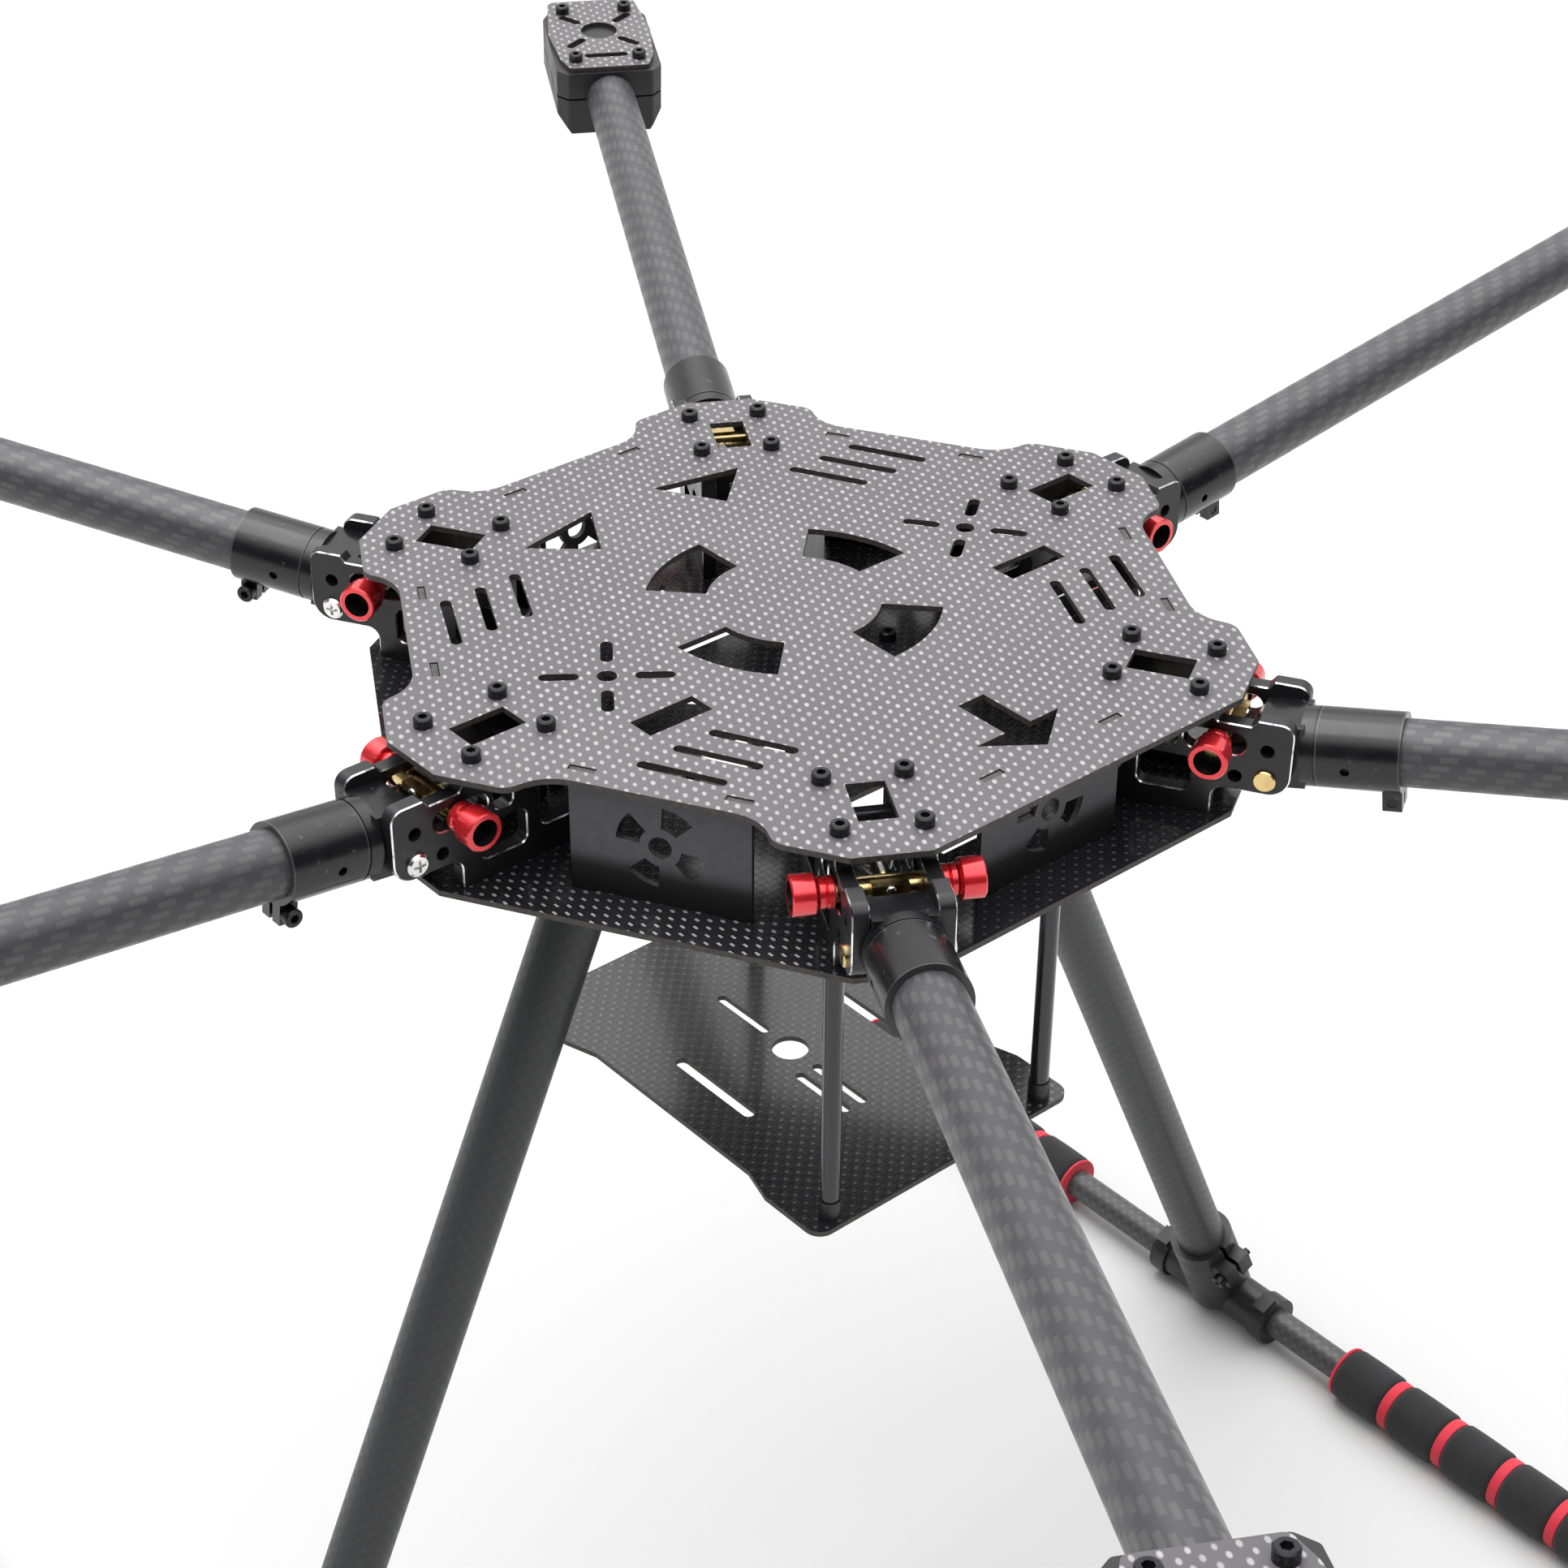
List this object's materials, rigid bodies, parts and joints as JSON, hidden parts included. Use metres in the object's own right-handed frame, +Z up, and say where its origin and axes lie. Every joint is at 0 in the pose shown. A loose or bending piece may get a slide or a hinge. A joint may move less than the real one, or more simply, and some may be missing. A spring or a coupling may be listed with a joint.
{
  "type": "folding hexacopter airframe",
  "caption": "Bare folding multirotor frame: hexagonal carbon hub, tube arms on latched hinges with motor mounts, battery tray below, and splayed legs on foam padded skids.",
  "frame": {"origin": "on the ground under the middle of the hub, level with the underside of the skid pads", "axes": "+Z up; -Y is the front, where the arrow in the top plate points; +X is the aircraft's left-to-right line when seen from the front, along the two arms that lie over the legs"},
  "size_m": [0.7526, 0.6646, 0.3711],
  "materials": {
    "deck_carbon": "satin woven carbon fibre laminate with a fine light dot of resin at each crossing",
    "dark_carbon": "glossy woven carbon fibre laminate",
    "arm_carbon": "matt twill woven carbon fibre tube",
    "leg_carbon": "matt plain woven carbon fibre tube",
    "black_alloy": "black anodised with bright bevelled edges",
    "sleeve_alloy": "satin black anodised",
    "black_plastic": "moulded glass filled nylon",
    "black_steel": "black oxide",
    "bright_steel": "nickel plated",
    "spring_steel": "zinc plated",
    "brass": "turned",
    "red_alloy": "gloss red anodised",
    "post_alloy": "grey anodised",
    "foam": "closed cell foam, finely pitted",
    "red_foam": "soft red foam ring"
  },
  "bodies": {
    "hub": {"top_plate": "deck_carbon", "bottom_plate": "dark_carbon", "side_panels": "dark_carbon", "arm_brackets": "black_alloy", "frame_screws": "black_steel", "hinge_pins": "brass", "hinge_screws": "bright_steel", "latch_springs": "spring_steel", "spring_seats": "black_alloy", "battery_plate": "dark_carbon", "battery_posts": "post_alloy", "post_feet": "black_plastic", "leg_sockets": "black_plastic", "leg_tubes": "leg_carbon", "skid_tees": "black_plastic", "skid_tubes": "leg_carbon", "skid_pads": "foam", "pad_rings": "red_foam"},
    "arm_front_left": {"arm_tube_front_left": "arm_carbon", "arm_knuckle_front_left": "sleeve_alloy", "motor_mount_front_left": "black_plastic", "motor_plate_front_left": "deck_carbon", "arm_screws_front_left": "black_steel"},
    "latch_front_left": {"latch_pin_front_left": "brass", "latch_knobs_front_left": "red_alloy"},
    "arm_front_right": {"arm_tube_front_right": "arm_carbon", "arm_knuckle_front_right": "sleeve_alloy", "motor_mount_front_right": "black_plastic", "motor_plate_front_right": "deck_carbon", "arm_screws_front_right": "black_steel"},
    "latch_front_right": {"latch_pin_front_right": "brass", "latch_knobs_front_right": "red_alloy"},
    "arm_right": {"arm_tube_right": "arm_carbon", "arm_knuckle_right": "sleeve_alloy", "motor_mount_right": "black_plastic", "motor_plate_right": "deck_carbon", "arm_screws_right": "black_steel"},
    "latch_right": {"latch_pin_right": "brass", "latch_knobs_right": "red_alloy"},
    "arm_rear_right": {"arm_tube_rear_right": "arm_carbon", "arm_knuckle_rear_right": "sleeve_alloy", "motor_mount_rear_right": "black_plastic", "motor_plate_rear_right": "deck_carbon", "arm_screws_rear_right": "black_steel"},
    "latch_rear_right": {"latch_pin_rear_right": "brass", "latch_knobs_rear_right": "red_alloy"},
    "arm_rear_left": {"arm_tube_rear_left": "arm_carbon", "arm_knuckle_rear_left": "sleeve_alloy", "motor_mount_rear_left": "black_plastic", "motor_plate_rear_left": "deck_carbon", "arm_screws_rear_left": "black_steel"},
    "latch_rear_left": {"latch_pin_rear_left": "brass", "latch_knobs_rear_left": "red_alloy"},
    "arm_left": {"arm_tube_left": "arm_carbon", "arm_knuckle_left": "sleeve_alloy", "motor_mount_left": "black_plastic", "motor_plate_left": "deck_carbon", "arm_screws_left": "black_steel"},
    "latch_left": {"latch_pin_left": "brass", "latch_knobs_left": "red_alloy"}
  },
  "joints": [
    {"name": "fold_front_left", "type": "hinge", "parent": "hub", "child": "arm_front_left", "pos_m": [-0.0597, -0.1034, 0.3236], "axis": [0.866, -0.5, 0], "range_deg": [0, 97]},
    {"name": "latch_pull_front_left", "type": "slide", "parent": "hub", "child": "latch_front_left", "axis": [0.5, 0.866, 0], "range_m": [0, 0.005], "stiffness_N_per_m": 400, "springref_m": -0.006},
    {"name": "fold_front_right", "type": "hinge", "parent": "hub", "child": "arm_front_right", "pos_m": [0.0597, -0.1034, 0.3236], "axis": [0.866, 0.5, 0], "range_deg": [0, 97]},
    {"name": "latch_pull_front_right", "type": "slide", "parent": "hub", "child": "latch_front_right", "axis": [-0.5, 0.866, 0], "range_m": [0, 0.005], "stiffness_N_per_m": 400, "springref_m": -0.006},
    {"name": "fold_right", "type": "hinge", "parent": "hub", "child": "arm_right", "pos_m": [0.1194, 0, 0.3236], "axis": [0, 1, 0], "range_deg": [0, 79]},
    {"name": "latch_pull_right", "type": "slide", "parent": "hub", "child": "latch_right", "axis": [-1, 0, 0], "range_m": [0, 0.005], "stiffness_N_per_m": 400, "springref_m": -0.006},
    {"name": "fold_rear_right", "type": "hinge", "parent": "hub", "child": "arm_rear_right", "pos_m": [0.0597, 0.1034, 0.3236], "axis": [-0.866, 0.5, 0], "range_deg": [0, 97]},
    {"name": "latch_pull_rear_right", "type": "slide", "parent": "hub", "child": "latch_rear_right", "axis": [-0.5, -0.866, 0], "range_m": [0, 0.005], "stiffness_N_per_m": 400, "springref_m": -0.006},
    {"name": "fold_rear_left", "type": "hinge", "parent": "hub", "child": "arm_rear_left", "pos_m": [-0.0597, 0.1034, 0.3236], "axis": [-0.866, -0.5, 0], "range_deg": [0, 97]},
    {"name": "latch_pull_rear_left", "type": "slide", "parent": "hub", "child": "latch_rear_left", "axis": [0.5, -0.866, 0], "range_m": [0, 0.005], "stiffness_N_per_m": 400, "springref_m": -0.006},
    {"name": "fold_left", "type": "hinge", "parent": "hub", "child": "arm_left", "pos_m": [-0.1194, 0, 0.3236], "axis": [0, -1, 0], "range_deg": [0, 79]},
    {"name": "latch_pull_left", "type": "slide", "parent": "hub", "child": "latch_left", "axis": [1, 0, 0], "range_m": [0, 0.005], "stiffness_N_per_m": 400, "springref_m": -0.006}
  ]
}
